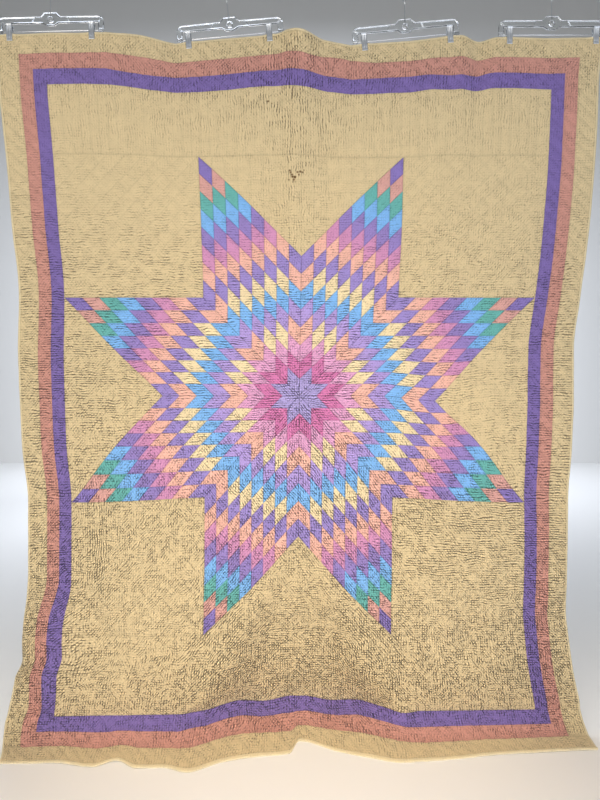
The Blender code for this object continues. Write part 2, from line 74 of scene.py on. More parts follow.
def linear(code):
    """An sRGB hex colour as linear red, green, blue and alpha."""
    parts = [int(code[i : i + 2], 16) / 255 for i in (0, 2, 4)]
    return (*[c / 12.92 if c <= 0.04045 else ((c + 0.055) / 1.055) ** 2.4 for c in parts], 1.0)


def dress(tree, node, inputs):
    """Sets a node's inputs to values, or links them to outputs or to other nodes' first outputs."""
    for key, value in inputs.items():
        if isinstance(value, bpy.types.Node):
            value = value.outputs[0]
        if isinstance(value, bpy.types.NodeSocket):
            tree.links.new(value, node.inputs[key])
        else:
            node.inputs[key].default_value = value


def add(tree, kind, inputs=None, **settings):
    """Adds a node with its settings and its inputs."""
    made = tree.nodes.new("ShaderNode" + kind)
    for key, value in settings.items():
        setattr(made, key, value)
    dress(tree, made, inputs or {})
    return made


def new_material(name):
    """A material with an empty Principled shader; gives the material, its tree and the shader."""
    material = bpy.data.materials.new(name)
    material.use_nodes = True
    tree = material.node_tree
    return material, tree, tree.nodes["Principled BSDF"]


def place(name, data):
    thing = bpy.data.objects.new(name, data)
    bpy.context.scene.collection.objects.link(thing)
    return thing


def pane_light(name, spot, aim, size, power, colour, spread=180):
    """A soft pane of light at one spot that faces another; spread is how wide it shines."""
    data = bpy.data.lights.new(name, "AREA")
    data.shape, data.size, data.energy = "SQUARE", size, power
    data.color = linear(colour)[:3]
    data.spread = math.radians(spread)
    thing = place(name, data)
    thing.location = spot
    thing.rotation_euler = (Vector(aim) - Vector(spot)).to_track_quat("-Z", "Y").to_euler()
    thing.visible_camera = False


def flat_sheet(name, corners, material):
    mesh = bpy.data.meshes.new(name)
    mesh.from_pydata(corners, [], [(0, 1, 2, 3)])
    mesh.materials.append(material)
    place(name, mesh)


# Painted board, matt: a faint mottle keeps it from looking empty.
board, tree, shader = new_material("Painted board")
mottle = add(tree, "TexNoise", {"Scale": 1.3, "Detail": 3.0})
tone = add(tree, "MapRange", {"Value": mottle, "To Min": 0.96, "To Max": 1.03})
tint = add(tree, "VectorMath", {0: linear(PAPER)[:3], "Scale": tone}, operation="SCALE")
dress(tree, shader, {"Base Color": tint, "Roughness": 0.85})
floor_corners = ((-ROOM_HALF, ROOM_NEAR), (ROOM_HALF, ROOM_NEAR), (ROOM_HALF, WALL_Y), (-ROOM_HALF, WALL_Y))
wall_corners = ((-ROOM_HALF, 0), (ROOM_HALF, 0), (ROOM_HALF, WALL_TALL), (-ROOM_HALF, WALL_TALL))
flat_sheet("floor", [(x, y, FLOOR_Z) for x, y in floor_corners], board)
flat_sheet("wall", [(x, WALL_Y, FLOOR_Z + z) for x, z in wall_corners], board)
pane_light("window_pane", (-1.3, -3.0, -0.9), (0, 0, -1.2), 1.8, 54, DAYLIGHT)
pane_light("fill_pane", (1.5, -3.0, -0.9), (0, 0, -1.2), 2.2, 40.5, SKYLIGHT)
pane_light("hem_pane", (0.1, -1.7, 0.2), (0, -0.1, -2.35), 1.0, 6.0, "FFEBD0", 60)
pane_light("wall_pane", (0, 5.0, 2.0), (0, 8.0, -1.0), 3.0, 420, SKYLIGHT)
pane_light("back_pane", (-1.2, 3.6, 0.4), (0, 0, -1.2), 2.4, 60, SKYLIGHT)
world = bpy.data.worlds.new("Pale room")
world.use_nodes = True
sky = world.node_tree.nodes["Background"]
sky.inputs["Color"].default_value = linear("DDE3EA")
sky.inputs["Strength"].default_value = 0.26
bpy.context.scene.world = world
bpy.context.scene.view_settings.view_transform = "Standard"
camera = place("camera", bpy.data.cameras.new("camera"))
camera.data.sensor_fit, camera.data.sensor_height, camera.data.lens = "VERTICAL", FRAME_TALL, LENS
camera.location = CAMERA
camera.rotation_euler = (math.radians(90), 0, 0)
bpy.context.scene.camera = camera


# How the quilt hangs. Each piece is cut flat, in u and v from the star's centre, and surface()
# takes its points to where the cloth hangs: by its top edge from the clips, slipped and folded on
# the way down, with a hollow below the star and its hem lying forward on the floor.
DIAMOND = 0.056  # side of one small diamond
ACROSS = 8  # small diamonds along each side of a star point
POINT_SIDE = ACROSS * DIAMOND
STAR = (2 + math.sqrt(2)) * POINT_SIDE
SIDE_STRIP = 0.041
END_STRIP = 0.050
OUTER_STRIP = 0.058
BINDING = 0.007  # width that the folded binding shows
TOP_PANEL = 0.212
BOTTOM_PANEL = 0.255
CLOTH = 0.0040  # top, wadding and backing together
PUFF = 0.0022  # how far a small diamond swells
TOP_V = STAR / 2 + TOP_PANEL + 2 * END_STRIP + OUTER_STRIP + BINDING
BOTTOM_V = -(STAR / 2 + BOTTOM_PANEL + 2 * END_STRIP + OUTER_STRIP + BINDING)
HALF_WIDTH = STAR / 2 + 2 * SIDE_STRIP + OUTER_STRIP + BINDING
# The quilt's left, middle and right at each level, and how far back each side hangs
LEVELS = (
    ("v", "z", "left", "middle", "right", "left_y", "right_y"),
    (TOP_V, -0.150, -0.941, 0.000, 0.938, 0.000, 0.000),
    (0.977, -0.309, -0.932, 0.000, 0.925, 0.000, 0.000),
    (0.765, -0.513, -0.917, 0.003, 0.921, 0.012, 0.012),
    (0.540, -0.734, -0.902, 0.005, 0.906, 0.022, 0.022),
    (0.313, -0.958, -0.884, 0.003, 0.881, 0.030, 0.030),
    (0.160, -1.112, -0.887, 0.000, 0.862, 0.030, 0.030),
    (0.000, -1.263, -0.882, -0.002, 0.862, 0.030, 0.030),
    (-0.160, -1.424, -0.874, -0.003, 0.855, 0.030, 0.030),
    (-0.313, -1.594, -0.855, -0.005, 0.843, 0.030, 0.030),
    (-0.540, -1.808, -0.855, -0.006, 0.841, 0.030, 0.032),
    (-0.680, -1.938, -0.859, -0.008, 0.838, 0.027, 0.034),
    (-0.765, -2.015, -0.853, -0.009, 0.846, 0.024, 0.036),
    (-0.825, -2.077, -0.851, -0.010, 0.855, 0.019, 0.039),
    (-0.890, -2.143, -0.882, -0.011, 0.866, 0.012, 0.042),
    (-1.020, -2.257, -0.904, -0.012, 0.890, 0.000, 0.050),
    (-1.070, -2.289, -0.892, -0.011, 0.890, 0.000, 0.050),
    (-1.120, -2.307, -0.876, -0.010, 0.887, 0.000, 0.050),
    (BOTTOM_V, -2.310, -0.858, -0.009, 0.883, 0.000, 0.050),
)
# How far forward the hem lies along its length
HEM = (
    ("u", "y"),
    (-0.912, -0.148),
    (-0.744, -0.146),
    (-0.615, -0.165),
    (-0.550, -0.136),
    (-0.478, -0.171),
    (-0.404, -0.167),
    (-0.325, -0.189),
    (-0.228, -0.143),
    (-0.114, -0.114),
    (-0.023, -0.100),
    (0.007, -0.035),
    (0.129, -0.090),
    (0.220, -0.120),
    (0.311, -0.143),
    (0.402, -0.135),
    (0.493, -0.123),
    (0.614, -0.105),
    (0.736, -0.095),
    (0.912, -0.080),
)
# How much of the hem's reach is felt above it
SPREAD = (
    ("v", "share"),
    (-1.020, 0.00),
    (-1.070, 0.22),
    (-1.120, 0.54),
    (BOTTOM_V, 1.00),
)
# Bows of the top edge, at the clips and between them, and how far down each is felt
BOWS = (
    ("start", "end", "fore", "rise", "reach"),
    (-0.847, -0.653, 0.004, 0.000, 0.45),
    (-0.597, -0.373, 0.009, 0.003, 0.55),
    (-0.317, -0.158, 0.005, -0.003, 0.45),
    (-0.079, 0.079, 0.026, 0.000, 0.25),
    (-0.079, 0.079, 0.012, 0.000, 0.90),
    (0.238, 0.429, 0.005, -0.006, 0.45),
    (0.485, 0.597, -0.016, -0.008, 0.50),
    (0.653, 0.847, 0.004, -0.004, 0.45),
)
EDGE_FADE = (0.12, 0.55)  # the edge's line fades between these distances below it
EDGE_ROUND = 0.070  # the edge's bends are rounded off over this far each way
ROUND_DOWN = (0.040, 0.160)  # between these distances below the edge
HOLLOW_TOP = -0.42
HOLLOW_FULL = -1.00
HOLLOW_DEPTH = 0.085
HOLLOW_SPREAD = 0.41  # how far it widens each way for every metre down
HOLLOW_WALL = 0.12
HOLLOW_LIFT = 0.012
LEAST_DOWN = 0.01  # keeps the wall's width above zero at the hollow's top
# The main folds, each along a line, set back by its depth
FOLDS = (
    ("u0", "v0", "u1", "v1", "depth", "half_width"),
    (-0.330, -0.980, -0.328, -1.130, 0.014, 0.045),
    (0.335, -0.960, 0.345, -1.090, -0.014, 0.055),
    (-0.690, -0.520, -0.650, -0.960, 0.010, 0.070),
    (-0.500, -0.600, -0.520, -0.980, -0.009, 0.080),
    (0.600, -0.560, 0.560, -0.950, 0.010, 0.080),
    (-0.885, -0.660, -0.880, -0.960, -0.020, 0.050),
    (0.880, -0.540, 0.850, -0.700, -0.010, 0.055),
    (-0.060, 0.900, -0.110, 0.420, 0.006, 0.060),
    (0.075, 0.900, 0.095, 0.400, 0.005, 0.060),
)
# Places where the cloth has slipped sideways, up or down
SLIPS = (
    ("u", "v", "dx", "dz", "reach_u", "reach_v"),
    (-0.820, -0.790, -0.040, 0.000, 0.140, 0.220),
    (0.000, -0.340, 0.000, 0.024, 0.750, 0.300),
    (0.460, 0.000, 0.000, -0.016, 0.200, 0.200),
    (0.780, 0.000, -0.009, 0.000, 0.160, 0.450),
    (-0.115, -1.020, 0.000, -0.016, 0.100, 0.100),
    (0.125, -1.020, 0.000, -0.016, 0.100, 0.100),
    (0.125, 1.077, 0.000, 0.014, 0.110, 0.055),
    (0.470, 1.020, 0.000, -0.012, 0.100, 0.090),
    (-0.490, 1.030, 0.000, -0.009, 0.110, 0.090),
    (-0.850, -1.080, -0.018, 0.000, 0.110, 0.110),
)
# Each hanger's crown, its tilt and its hook's lean in degrees, and where its two clips grip
HANGERS = (
    ("name", "x", "crown", "tilt", "lean", "clip_left", "clip_right"),
    ("a", -0.772, 0.015, 1.2, 0.0, -0.127, 0.127),
    ("b", -0.218, 0.000, 5.3, 7.0, -0.131, 0.120),
    ("c", 0.325, -0.006, 5.3, 1.0, -0.130, 0.136),
    ("d", 0.779, 0.003, 0.0, 0.0, -0.131, 0.136),
)
HOOK_RISE = 0.115  # from the hole in a hanger's boss up to the hook's crown
CLOTH_EDGE_Z = -0.0415  # the quilt's top edge, from that hole
ROD_Z = -0.0345  # and the clip rod
EDGE_HOLD = 0.172  # the top edge is straight this far each way from a hanger's middle
SIDE_REACH = 0.35  # the edge's line is carried on this far past the outer hangers
LOOK_STEP = 0.006  # slopes of the cloth are taken over this far each way


def rows(table):
    """The rows of a table, each as a dictionary from its column names."""
    return [dict(zip(table[0], row)) for row in table[1:]]


def smooth_step(x):
    x = np.clip(x, 0.0, 1.0)
    return x * x * (3 - 2 * x)


def column(table, key, name):
    """A table's column as a smooth function of its key column, which never overshoots."""
    picked = sorted(rows(table), key=lambda row: row[key])
    xs, ys = (np.array([row[what] for row in picked]) for what in (key, name))
    runs = np.diff(xs)
    slopes = np.diff(ys) / runs
    before, after = slopes[:-1], slopes[1:]
    bend = before * after > 0
    inner = np.where(bend, 2 * before * after / np.where(bend, before + after, 1.0), 0.0)
    tangents = np.concatenate([slopes[:1], inner, slopes[-1:]])

    def value(x):
        x = np.clip(x, xs[0], xs[-1])
        i = np.clip(np.searchsorted(xs, x, side="right") - 1, 0, len(runs) - 1)
        t = (x - xs[i]) / runs[i]
        start, end = tangents[i] * runs[i], tangents[i + 1] * runs[i]
        fall = 2 * t**3 - 3 * t**2
        return ys[i] * (1 + fall) - ys[i + 1] * fall + start * (t**3 - 2 * t**2 + t) + end * (t**3 - t**2)

    return value


level = {name: column(LEVELS, "v", name) for name in LEVELS[0][1:]}
hem_reach = column(HEM, "u", "y")
hem_share = column(SPREAD, "v", "share")


def hanger_frame(row):
    """Carries a hanger's own coordinates, from its boss's hole, to the world."""
    spot = Matrix.Translation((row["x"], 0, row["crown"] - HOOK_RISE))
    return spot @ Matrix.Rotation(-math.radians(row["tilt"]), 4, "Y")


knots = []
for row in rows(HANGERS):
    knots += [hanger_frame(row) @ Vector((end, 0, CLOTH_EDGE_Z)) for end in (-EDGE_HOLD, EDGE_HOLD)]
knots.insert(0, knots[0] + (knots[0] - knots[1]).normalized() * SIDE_REACH)
knots.append(knots[-1] + (knots[-1] - knots[-2]).normalized() * SIDE_REACH)
KNOT_X = np.array([knot.x for knot in knots])
KNOT_Z = np.array([knot.z for knot in knots])


GRIPPED = 0.0185  # below the rod, the middle of what a clip's jaws hold
GRIP_ASIDE = (0.024, 0.014)  # how far a clip's grip is felt sideways, and over how far it fades
GRIP_ALONG = (0.030, 0.018)  # and up and down
clip_spots = [
    hanger_frame(row) @ Vector((row[f"clip_{side}"], 0, ROD_Z - GRIPPED))
    for row in rows(HANGERS) for side in ("left", "right")
]


def gripped(points):
    """1 where a clip presses the quilt flat, fading to 0 a little way off."""
    held = np.zeros(points.shape[:2])
    for spot in clip_spots:
        aside = smooth_step((GRIP_ASIDE[0] - np.abs(points[..., 0] - spot.x)) / GRIP_ASIDE[1])
        along = smooth_step((GRIP_ALONG[0] - np.abs(points[..., 2] - spot.z)) / GRIP_ALONG[1])
        held = np.maximum(held, aside * along)
    return held


def edge_height(x):
    return np.interp(x, KNOT_X, KNOT_Z)


def soft_height(x, below):
    """Height of the edge as the cloth a little below it feels it, with its bends rounded off."""
    beside = (edge_height(x - EDGE_ROUND) + edge_height(x + EDGE_ROUND)) / 2
    start, full = ROUND_DOWN
    share = 0.5 * smooth_step((below - start) / (full - start))
    return edge_height(x) * (1 - share) + beside * share


def bow_shape(u, bow):
    share = np.clip((u - bow["start"]) / (bow["end"] - bow["start"]), 0, 1)
    return 0.5 - 0.5 * np.cos(2 * math.pi * share)


def fold_shape(u, v, fold):
    """1 along a fold's line, fading to 0 across it and at its two ends."""
    du, dv = fold["u1"] - fold["u0"], fold["v1"] - fold["v0"]
    length = math.hypot(du, dv)
    share = np.clip(((u - fold["u0"]) * du + (v - fold["v0"]) * dv) / length**2, 0, 1)
    across = np.abs((u - fold["u0"]) * dv - (v - fold["v0"]) * du) / length
    return np.sin(math.pi * share) ** 2 * smooth_step(1 - across / fold["half_width"])


def hollow(u, v):
    down = np.clip((HOLLOW_TOP - v) / (HOLLOW_TOP - HOLLOW_FULL), 0, 1)
    side = HOLLOW_SPREAD * (HOLLOW_TOP - v)
    wall = HOLLOW_WALL * np.maximum(down, LEAST_DOWN)
    return down**1.5 * (1 - smooth_step((np.abs(u) - side + wall) / (2 * wall)))


def surface(u, v):
    """Where the middle of the cloth hangs: x, y and z for each flat point."""
    side = u / HALF_WIDTH
    left, middle, right = level["left"](v), level["middle"](v), level["right"](v)
    x = middle + (right - left) / 2 * side + ((right + left) / 2 - middle) * side**2
    z = level["z"](v)
    y = level["left_y"](v) * (1 - side) / 2 + level["right_y"](v) * (1 + side) / 2
    below = TOP_V - v
    fade = 1 - smooth_step((below - EDGE_FADE[0]) / (EDGE_FADE[1] - EDGE_FADE[0]))
    rise = soft_height(x, below) - LEVELS[1][1]
    for bow in rows(BOWS):
        shape = bow_shape(u, bow)
        rise = rise + bow["rise"] * shape
        y = y - bow["fore"] * shape * np.clip(1 - below / bow["reach"], 0, 1) ** 2
    z = z + fade * rise
    for slip in rows(SLIPS):
        across, along = (u - slip["u"]) / slip["reach_u"], (v - slip["v"]) / slip["reach_v"]
        share = np.maximum(1 - across**2 - along**2, 0) ** 2
        x = x + slip["dx"] * share
        z = z + slip["dz"] * share
    for fold in rows(FOLDS):
        y = y + fold["depth"] * fold_shape(u, v, fold)
    sunk = hollow(u, v)
    share = hem_share(v)
    y = y + HOLLOW_DEPTH * sunk
    z = z + HOLLOW_LIFT * sunk * (1 - share)
    y = y * (1 - share) + hem_reach(u) * share
    return np.stack([x, y, z], axis=-1)


def patches(u, v, wide, tall, seed):
    """Smooth random values from -1 to 1 in patches of about the given size."""
    table = np.random.default_rng(seed).uniform(-1, 1, (512, 512))
    a, b = u / wide + 256.5, v / tall + 256.5
    i, j = np.floor(a).astype(int), np.floor(b).astype(int)
    s, t = smooth_step(a - i), smooth_step(b - j)
    i, j = i % 511, j % 511
    low = table[i, j] * (1 - s) + table[i + 1, j] * s
    high = table[i, j + 1] * (1 - s) + table[i + 1, j + 1] * s
    return low * (1 - t) + high * t


# Soft dents of the hanging quilt, too small for the folds above: patch width and height, then rise
DENTS = (
    ("wide", "tall", "rise"),
    (0.110, 0.160, 0.0016),
    (0.045, 0.060, 0.0009),
    (0.020, 0.024, 0.0005),
)


def dents(u, v):
    return sum(row["rise"] * patches(u, v, row["wide"], row["tall"], n) for n, row in enumerate(rows(DENTS)))


# Where the washed cloth is drawn into fine creases, and which way they run. Each row is a soft oval
# patch in the flat quilt, with the strength there of upright, level, rising and falling creases;
# spread is the strength of those that run out from the patch's middle.
PULLS = (
    ("u", "v", "reach_u", "reach_v", "upright", "level", "rising", "falling", "spread"),
    (0.00, 0.95, 1.30, 0.17, 0.45, 0.00, 0.00, 0.04, 0.00),
    (-0.02, 0.85, 0.11, 0.50, 0.55, 0.00, 0.05, 0.10, 0.00),
    (-0.58, 0.40, 0.34, 0.28, 0.00, 0.36, 0.05, 0.12, 0.00),
    (0.58, 0.45, 0.34, 0.30, 0.28, 0.05, 0.25, 0.00, 0.00),
    (0.00, 0.15, 0.70, 0.34, 0.00, 1.30, 0.20, 0.20, 0.00),
    (-0.66, 0.00, 0.20, 0.24, 0.10, 0.50, 0.30, 0.20, 0.00),
    (-0.67, -0.44, 0.05, 0.16, 1.40, 0.00, 0.00, 0.00, 0.00),
    (0.00, -0.02, 0.15, 0.15, 0.00, 0.00, 0.00, 0.00, 1.00),
    (0.03, -0.30, 0.50, 0.24, 0.80, 0.30, 0.20, 1.20, 0.00),
    (-0.62, -0.52, 0.36, 0.34, 0.45, 0.35, 0.80, 0.15, 0.00),
    (0.62, -0.44, 0.36, 0.22, 0.05, 1.70, 0.20, 0.35, 0.00),
    (0.62, -0.80, 0.36, 0.18, 0.80, 0.50, 0.35, 0.45, 0.00),
    (-0.23, -0.80, 0.13, 0.22, 0.60, 0.10, 1.30, 0.00, 0.00),
    (0.23, -0.80, 0.13, 0.22, 0.60, 0.10, 0.00, 1.20, 0.00),
    (0.00, -0.78, 0.34, 0.30, 0.30, 1.10, 0.50, 0.50, 0.00),
    (0.00, -0.94, 1.30, 0.13, 0.90, 0.50, 0.50, 0.50, 0.00),
    (-0.85, -0.15, 0.13, 0.80, 0.05, 1.00, 0.25, 0.15, 0.00),
    (0.85, -0.15, 0.13, 0.80, 0.05, 0.90, 0.15, 0.25, 0.00),
    (-0.86, -0.78, 0.16, 0.34, 0.50, 0.80, 0.60, 0.30, 0.00),
    (0.86, -0.78, 0.16, 0.34, 0.50, 0.70, 0.30, 0.60, 0.00),
    (0.00, 1.06, 1.30, 0.10, 0.30, 0.20, 0.40, 0.30, 0.00),
    (0.00, -1.10, 1.30, 0.08, 0.40, 0.10, 0.10, 0.15, 0.00),
)
WAYS = (("upright", 90), ("level", 0), ("rising", 48), ("falling", -48))
LEAST_PULL = 0.06  # every part of a washed quilt is creased a little


def pulls(u, v):
    """Strength of the creases that run each way at each flat point."""
    strengths = []
    for way, angle in WAYS:
        total = np.full(u.shape, LEAST_PULL)
        for row in rows(PULLS):
            du, dv = u - row["u"], v - row["v"]
            oval = np.exp(-((du / row["reach_u"]) ** 2) - (dv / row["reach_v"]) ** 2)
            out = np.maximum(np.cos(2 * (np.arctan2(dv, du) - math.radians(angle))), 0)
            total = total + oval * (row[way] + row["spread"] * out)
        strengths.append(total)
    return strengths


# Washed cotton, plain woven: matt, a little fuzzy, and drawn into fine creases along its quilting.
# Threads lie 0.4 mm apart, drawn here at 1.6 mm so that they show. The creases are 5 to 8 mm apart
# and a few centimetres long, each a narrow valley between two soft swells.
THREAD = 0.0016
CREASE = 0.0078  # from one crease to the next
CREASE_LONG = 0.042
WANDER = 1.5  # how far the rows of creases wander, in their own spacing
AREA = 0.050  # size of an area that is drawn one way more than the others
BREAK = 0.014  # the rows break off about this far apart
IN_PLANE = {"noise_dimensions": "2D"}
SOFT = {"interpolation_type": "SMOOTHSTEP"}
creases = bpy.data.node_groups.new("Washed creases", "ShaderNodeTree")
for name in ("Height", "Weave"):
    creases.interface.new_socket(name, in_out="OUTPUT", socket_type="NodeSocketFloat")
flat = add(creases, "UVMap", uv_map="Cloth")
pull = add(creases, "Attribute", attribute_name="Pull")
kinds = add(creases, "SeparateColor", {0: pull.outputs["Color"]})
strengths = [*kinds.outputs, pull.outputs["Alpha"]]
speckle = add(creases, "TexNoise", {"Vector": flat, "Scale": 1 / BREAK, "Detail": 1.0}, **IN_PLANE)
broken = add(creases, "MapRange", {"Value": speckle, "From Min": 0.38, "From Max": 0.60,
                                   "To Min": 0.30, "To Max": 1.20}, **SOFT)
total = None
for number, ((_, angle), strength) in enumerate(zip(WAYS, strengths)):
    turned = add(
        creases, "Mapping",
        {"Vector": flat, "Rotation": (0, 0, math.radians(angle)), "Scale": (CREASE_LONG, CREASE, 1)},
        vector_type="TEXTURE",
    )
    slower = add(creases, "VectorMath", {0: turned, 1: (1.0, 0.3, 1.0)}, operation="MULTIPLY")
    ripple = add(creases, "TexNoise", {"Vector": slower, "Scale": 1.0, "Detail": 1.0},
                 **IN_PLANE)
    across = add(creases, "SeparateXYZ", {0: turned}).outputs[1]
    phase = add(creases, "Math", {0: ripple, 1: WANDER, 2: across}, operation="MULTIPLY_ADD")
    turn = add(creases, "Math", {0: phase, 1: math.tau}, operation="MULTIPLY")
    row_of = add(creases, "Math", {0: turn}, operation="SINE")
    valley = add(creases, "MapRange", {"Value": row_of, "From Min": -1.0, "From Max": 0.05,
                                       "To Min": -0.82, "To Max": 0.18}, **SOFT)
    shifted = add(creases, "VectorMath", {0: flat, 1: (0.37 * number, 0.71 * number, 0)}, operation="ADD")
    area = add(creases, "TexNoise", {"Vector": shifted, "Scale": 1 / AREA, "Detail": 1.0},
               **IN_PLANE)
    chosen = add(creases, "MapRange", {"Value": area, "From Min": 0.40, "From Max": 0.58,
                                       "To Min": 0.30, "To Max": 1.0}, **SOFT)
    weighted = add(creases, "Math", {0: valley, 1: strength}, operation="MULTIPLY")
    weighted = add(creases, "Math", {0: weighted, 1: chosen}, operation="MULTIPLY")
    if total is None:
        total = weighted
    else:
        total = add(creases, "Math", {0: total, 1: weighted}, operation="ADD")
total = add(creases, "Math", {0: total, 1: broken}, operation="MULTIPLY")
threads = add(creases, "Mapping", {"Vector": flat, "Scale": (1 / THREAD, 1 / THREAD, 1)})
warp_and_weft = add(creases, "SeparateXYZ", {0: threads})
waves = []
for axis in (0, 1):
    turn = add(creases, "Math", {0: warp_and_weft.outputs[axis], 1: math.tau}, operation="MULTIPLY")
    waves.append(add(creases, "Math", {0: turn}, operation="SINE"))
weave = add(creases, "Math", {0: waves[0], 1: waves[1]}, operation="MULTIPLY")
dress(creases, creases.nodes.new("NodeGroupOutput"), {"Height": total, "Weave": weave})

CREASE_RISE = 0.0019  # depth of the creases where they are strongest
THREAD_RISE = 0.00010
PATCHY = 26.0  # patches of faded colour to a metre
STAIN = "5E3F18"
STAIN_RAG = 0.0016  # how far a stain's edge wanders
RAGGED = 400.0  # and how many times to a metre
PAINTED_CREASE_SHADING = 0.36  # how dark the painted shade at the bottom of a crease is; its swells get as much painted highlight
SEAM_SHADE = 0.66  # how dark the painted shade in a seam's groove or along a quilting line is


def cotton(name, code, fade=0.05, spots=()):
    """A plain cotton: its colour, softly uneven, with painted shade in seams and creases and painted
    highlight on swells.

    spots are brown stains, each its flat u and v, its size and how dark it is.
    """
    material, tree, shader = new_material(name)
    group = tree.nodes.new("ShaderNodeGroup")
    group.node_tree = creases
    flat = add(tree, "UVMap", uv_map="Cloth")
    patchy = add(tree, "TexNoise", {"Vector": flat, "Scale": PATCHY, "Detail": 4.0}, **IN_PLANE)
    tone = add(tree, "MapRange", {"Value": patchy, "From Min": 0.3, "From Max": 0.7,
                                  "To Min": 1 - fade, "To Max": 1 + fade})
    # painted shade in the creases' valleys and painted highlight on the swells between them, set by the
    # creases' height
    deep = add(tree, "MapRange", {"Value": group.outputs["Height"], "From Min": -1.0, "To Min": PAINTED_CREASE_SHADING,
                                  "From Max": 1.0, "To Max": 2 - PAINTED_CREASE_SHADING})
    # painted shade along the seams and quilting lines, where the cloth dips
    seam = add(tree, "Attribute", attribute_name="Seam").outputs["Fac"]
    groove = add(tree, "MapRange", {"Value": seam, "To Min": 1.0, "To Max": SEAM_SHADE})
    shade = add(tree, "Math", {0: deep, 1: groove}, operation="MULTIPLY")
    shade = add(tree, "Math", {0: shade, 1: tone}, operation="MULTIPLY")
    colour = add(tree, "VectorMath", {0: linear(code)[:3], "Scale": shade}, operation="SCALE")
    tint = colour
    if spots:
        ragged = add(tree, "TexNoise", {"Vector": flat, "Scale": RAGGED, "Detail": 2.0}, **IN_PLANE)
        moved = add(tree, "VectorMath", {0: ragged.outputs["Color"], 1: (STAIN_RAG, STAIN_RAG, 0), 2: flat},
                    operation="MULTIPLY_ADD")
        brown = None
        for u, v, size, dark in spots:
            away = add(tree, "VectorMath", {0: moved, 1: (u, v, 0)}, operation="DISTANCE")
            one = add(tree, "MapRange", {"Value": away.outputs["Value"], "From Min": 0.3 * size,
                                         "From Max": size, "To Min": dark, "To Max": 0.0},
                      **SOFT)
            if brown is None:
                brown = one
            else:
                brown = add(tree, "Math", {0: brown, 1: one}, operation="MAXIMUM")
        # sockets 6 and 7 are the two colours that this kind of node mixes
        tint = add(tree, "Mix", {0: brown, 6: tint, 7: linear(STAIN)}, data_type="RGBA").outputs[2]
    bumpy = add(tree, "Bump", {"Height": group.outputs["Height"], "Distance": CREASE_RISE, "Strength": 1.0})
    woven = add(tree, "Bump", {"Height": group.outputs["Weave"], "Distance": THREAD_RISE,
                               "Strength": 1.0, "Normal": bumpy})
    dress(tree, shader, {
        "Base Color": tint, "Normal": woven, "Roughness": 0.9, "IOR": 1.46,
        "Specular IOR Level": 0.25, "Sheen Weight": 0.12, "Sheen Roughness": 0.5,
    })
    return material


backing = cotton("Unbleached cotton backing", "D9CDB0")


def shell(front, back):
    """A closed layer between two grids of points: its points and its four-sided faces."""
    tall, wide = front.shape[:2]
    number = np.arange(tall * wide).reshape(tall, wide)
    corners = [number[:-1, :-1], number[:-1, 1:], number[1:, 1:], number[1:, :-1]]
    faces = np.stack(corners, axis=-1).reshape(-1, 4)
    ring = np.concatenate([number[0, :-1], number[:-1, -1], number[-1, :0:-1], number[:0:-1, 0]])
    after = np.roll(ring, -1)
    behind = tall * wide
    rim = np.stack([ring, ring + behind, after + behind, after], axis=-1)
    points = np.concatenate([front.reshape(-1, 3), back.reshape(-1, 3)])
    return points, np.concatenate([faces, faces[:, ::-1] + behind, rim])


def cloth_piece(name, node, u, v, relief, groove, tops, half=CLOTH / 2, drawn_in=1.0):
    """One piece of the quilt as a thin closed layer, hung in place of its node.

    u and v are grids of flat points, relief is how far the front stands up at each, groove is 1 in
    a seam and sets the painted shade there, and tops gives the front's materials and one index for
    each cell of the grid. drawn_in is how much of the washed creases it shows.
    """
    materials, index = tops
    middle = surface(u, v)
    along_u = surface(u + LOOK_STEP, v) - surface(u - LOOK_STEP, v)
    up, down = np.minimum(v + LOOK_STEP, TOP_V), np.maximum(v - LOOK_STEP, BOTTOM_V)
    along_v = surface(u, up) - surface(u, down)
    normal = np.cross(along_u, along_v)
    normal /= np.linalg.norm(normal, axis=-1, keepdims=True)
    free = 1 - gripped(middle)
    dent = dents(u, v) * free
    front = middle + normal * (half + relief * free + dent)[..., None]
    back = middle + normal * (dent - half)[..., None]
    points, quads = shell(front, back)
    mesh = bpy.data.meshes.new(name)
    mesh.vertices.add(len(points))
    mesh.vertices.foreach_set("co", points.ravel())
    mesh.loops.add(quads.size)
    mesh.loops.foreach_set("vertex_index", quads.ravel().astype(np.int32))
    mesh.polygons.add(len(quads))
    mesh.polygons.foreach_set("loop_start", np.arange(0, quads.size, 4, dtype=np.int32))
    for material in (*materials, backing):
        mesh.materials.append(material)
    tags = np.concatenate([index.ravel(), np.full(len(quads) - index.size, len(materials))])
    mesh.polygons.foreach_set("material_index", tags.astype(np.int32))
    flat_points = np.stack([u.ravel(), v.ravel()], axis=-1)
    uv = np.concatenate([flat_points, flat_points])[quads.ravel()]
    mesh.uv_layers.new(name="Cloth").data.foreach_set("uv", uv.ravel())
    drawn = drawn_in * np.stack(pulls(u, v), axis=-1).reshape(-1, 4)
    paint = mesh.attributes.new("Pull", "FLOAT_COLOR", "POINT")
    paint.data.foreach_set("color", np.concatenate([drawn, drawn]).ravel())
    sewn = np.concatenate([groove.ravel(), np.zeros(u.size)])
    mesh.attributes.new("Seam", "FLOAT", "POINT").data.foreach_set("value", sewn)
    mesh.update(calc_edges=True)
    mesh.validate()
    mesh.shade_smooth()
    mesh.set_sharp_from_angle(angle=math.radians(60))
    piece = place(name, mesh)
    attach(piece, "root")
    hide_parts(node)


